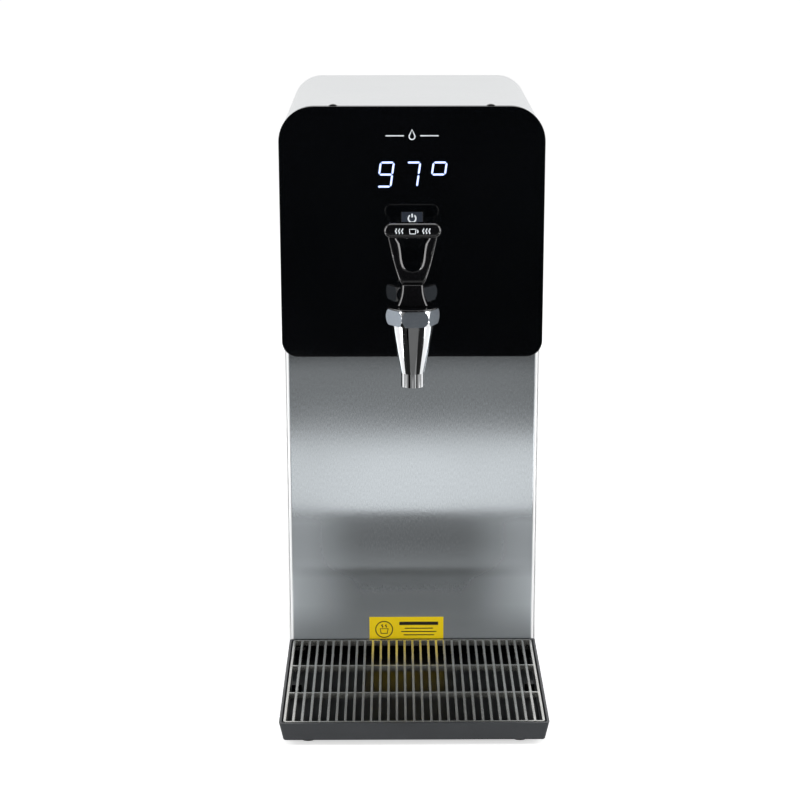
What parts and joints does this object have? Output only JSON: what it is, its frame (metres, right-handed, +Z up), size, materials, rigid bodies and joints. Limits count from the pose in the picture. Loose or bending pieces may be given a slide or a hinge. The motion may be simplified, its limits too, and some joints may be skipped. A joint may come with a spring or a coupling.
{
  "type": "countertop water dispenser",
  "caption": "Countertop hot water dispenser with a steel cabinet, black glass fascia, lit temperature display, chrome lever tap and a lift-out drip tray.",
  "frame": {"origin": "middle of the whole footprint, on the table", "axes": "+Z up, the front with the tap and the tray faces -Y, +X is to the right seen from the front"},
  "size_m": [0.212, 0.454, 0.471],
  "materials": {
    "casing_steel": "satin, upright grain",
    "panel_steel": "brushed, upright grain",
    "zinc_sheet": "zinc plated",
    "foot_rubber": "matt",
    "screw_steel": "dark zinc",
    "bezel_plastic": "satin",
    "black_glass": "gloss, opaque",
    "board_green": "solder mask",
    "dark_plastic": "satin",
    "lit_segment": "lit",
    "button_grey": "satin",
    "notice_yellow": "printed film",
    "tap_chrome": "polished",
    "brass": "bare",
    "black_rubber": "matt",
    "tap_black": "gloss",
    "bright_steel": "drawn",
    "silicone": "matt",
    "tray_plastic": "fine grain",
    "grille_grey": "satin",
    "tank_steel": "rolled",
    "red_rubber": "matt",
    "foam": "felt",
    "sheath": "heat tinted",
    "hose": "milky silicone",
    "nylon": "moulded",
    "coil_blue": "moulded",
    "bakelite": "moulded"
  },
  "bodies": {
    "cabinet": {"casing_wrap": "casing_steel", "front_panel": "panel_steel", "back_panel": "casing_steel", "base_plate": "zinc_sheet", "cabinet_feet": "foot_rubber", "foot_screws": "screw_steel", "back_screws": "screw_steel", "fascia_bezel": "bezel_plastic", "fascia_glass": "black_glass", "fascia_clips": "screw_steel", "display_board": "board_green", "display_module": "dark_plastic", "display_segments": "lit_segment", "button_switch": "dark_plastic", "notice_plate": "notice_yellow", "tap_body": "tap_chrome", "tap_shank": "tap_chrome", "shank_gasket": "black_rubber", "shank_nut": "brass", "tap_bonnet": "tap_black", "tap_spring": "bright_steel", "tank_frame": "zinc_sheet", "tank_shell": "tank_steel", "tank_gasket": "red_rubber", "tank_lid": "tank_steel", "tank_bolts": "screw_steel", "tank_insulation": "foam", "heating_element": "sheath", "element_terminals": "brass", "level_probes": "bright_steel", "temperature_probe": "bright_steel", "overheat_cutout": "bakelite", "outlet_hose": "hose", "hose_clips": "bright_steel", "inlet_valve": "nylon", "valve_coil": "coil_blue", "fill_hose": "hose", "overflow_spigot": "nylon", "overflow_hose": "hose", "cable_gland": "dark_plastic", "gland_nut": "dark_plastic", "control_board": "board_green", "board_standoffs": "bright_steel", "power_relay": "coil_blue", "terminal_block": "nylon"},
    "stem": {"tap_stem": "bright_steel", "seat_cup": "silicone"},
    "lever": {"tap_lever": "tap_black", "lever_pin": "bright_steel"},
    "button": {"power_button": "button_grey"},
    "tray": {"drip_tray": "tray_plastic", "tray_feet": "foot_rubber"},
    "grille": {"drip_grille": "grille_grey"}
  },
  "joints": [
    {"name": "stem_lift", "type": "slide", "parent": "cabinet", "child": "stem", "axis": [0, 0, 1], "range_m": [0, 0.004], "deforming": ["tap_spring"]},
    {"name": "lever_pull", "type": "hinge", "parent": "stem", "child": "lever", "pos_m": [0, -0.097, 0.3279], "axis": [1, 0, 0], "range_deg": [0, 30], "stiffness_Nm_per_rad": 0.2, "springref_deg": -17.19},
    {"name": "power_button_press", "type": "slide", "parent": "cabinet", "child": "button", "axis": [0, 1, 0], "range_m": [0, 0.001], "stiffness_N_per_m": 200},
    {"name": "tray_pull", "type": "slide", "parent": "cabinet", "child": "tray", "axis": [0, -1, 0], "range_m": [0, 0.12]},
    {"name": "grille_lift", "type": "slide", "parent": "tray", "child": "grille", "axis": [0, 0, 1], "range_m": [0, 0.05]}
  ],
  "couplings": [
    {"joint": "lever_pull", "follows": "stem_lift", "rad_per_m": 130.89}
  ]
}
